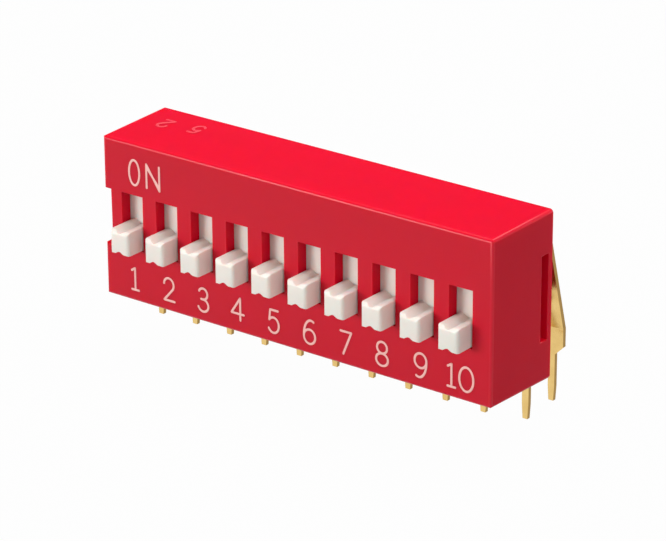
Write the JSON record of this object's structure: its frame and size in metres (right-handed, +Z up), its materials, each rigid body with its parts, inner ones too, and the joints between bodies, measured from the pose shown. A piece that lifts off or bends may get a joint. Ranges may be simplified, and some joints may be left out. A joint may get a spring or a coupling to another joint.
{
  "type": "dip switch",
  "caption": "Right-angle slide DIP switch: a long red housing with a row of white slide knobs in slots, on gold-plated pins, one row under it and two bent down behind it, for a circuit board.",
  "frame": {"origin": "on the board's face, midway between the two rows of pins behind the housing", "axes": "+X along the row from position 1 to the last, -Y the way the knobs face, +Z up from the board"},
  "size_m": [0.0272, 0.0103, 0.0132],
  "materials": {
    "cover_red": "moulded, satin, with rounded outer edges",
    "base_red": "moulded, satin",
    "slider_white": "moulded, satin, slightly translucent",
    "contact_gold": "gold-plated spring sheet",
    "terminal_gold": "gold-plated, bright, stamped and bent"
  },
  "bodies": {
    "housing": {"cover": "cover_red", "base": "base_red", "upper_terminal_1": "terminal_gold", "upper_terminal_2": "terminal_gold", "upper_terminal_3": "terminal_gold", "upper_terminal_4": "terminal_gold", "upper_terminal_5": "terminal_gold", "upper_terminal_6": "terminal_gold", "upper_terminal_7": "terminal_gold", "upper_terminal_8": "terminal_gold", "upper_terminal_9": "terminal_gold", "upper_terminal_10": "terminal_gold", "lower_terminal_1": "terminal_gold", "lower_terminal_2": "terminal_gold", "lower_terminal_3": "terminal_gold", "lower_terminal_4": "terminal_gold", "lower_terminal_5": "terminal_gold", "lower_terminal_6": "terminal_gold", "lower_terminal_7": "terminal_gold", "lower_terminal_8": "terminal_gold", "lower_terminal_9": "terminal_gold", "lower_terminal_10": "terminal_gold", "common_terminal_1": "terminal_gold", "common_terminal_2": "terminal_gold", "common_terminal_3": "terminal_gold", "common_terminal_4": "terminal_gold", "common_terminal_5": "terminal_gold", "common_terminal_6": "terminal_gold", "common_terminal_7": "terminal_gold", "common_terminal_8": "terminal_gold", "common_terminal_9": "terminal_gold", "common_terminal_10": "terminal_gold"},
    "switch_1": {"slider_1": "slider_white", "contact_1": "contact_gold"},
    "switch_2": {"slider_2": "slider_white", "contact_2": "contact_gold"},
    "switch_3": {"slider_3": "slider_white", "contact_3": "contact_gold"},
    "switch_4": {"slider_4": "slider_white", "contact_4": "contact_gold"},
    "switch_5": {"slider_5": "slider_white", "contact_5": "contact_gold"},
    "switch_6": {"slider_6": "slider_white", "contact_6": "contact_gold"},
    "switch_7": {"slider_7": "slider_white", "contact_7": "contact_gold"},
    "switch_8": {"slider_8": "slider_white", "contact_8": "contact_gold"},
    "switch_9": {"slider_9": "slider_white", "contact_9": "contact_gold"},
    "switch_10": {"slider_10": "slider_white", "contact_10": "contact_gold"}
  },
  "joints": [
    {"name": "switch_1_slide", "type": "slide", "parent": "housing", "child": "switch_1", "axis": [0, 0, 1], "range_m": [0, 0.00178]},
    {"name": "switch_2_slide", "type": "slide", "parent": "housing", "child": "switch_2", "axis": [0, 0, 1], "range_m": [0, 0.00178]},
    {"name": "switch_3_slide", "type": "slide", "parent": "housing", "child": "switch_3", "axis": [0, 0, 1], "range_m": [0, 0.00178]},
    {"name": "switch_4_slide", "type": "slide", "parent": "housing", "child": "switch_4", "axis": [0, 0, 1], "range_m": [0, 0.00178]},
    {"name": "switch_5_slide", "type": "slide", "parent": "housing", "child": "switch_5", "axis": [0, 0, 1], "range_m": [0, 0.00178]},
    {"name": "switch_6_slide", "type": "slide", "parent": "housing", "child": "switch_6", "axis": [0, 0, 1], "range_m": [0, 0.00178]},
    {"name": "switch_7_slide", "type": "slide", "parent": "housing", "child": "switch_7", "axis": [0, 0, 1], "range_m": [0, 0.00178]},
    {"name": "switch_8_slide", "type": "slide", "parent": "housing", "child": "switch_8", "axis": [0, 0, 1], "range_m": [0, 0.00178]},
    {"name": "switch_9_slide", "type": "slide", "parent": "housing", "child": "switch_9", "axis": [0, 0, 1], "range_m": [0, 0.00178]},
    {"name": "switch_10_slide", "type": "slide", "parent": "housing", "child": "switch_10", "axis": [0, 0, 1], "range_m": [0, 0.00178]}
  ]
}
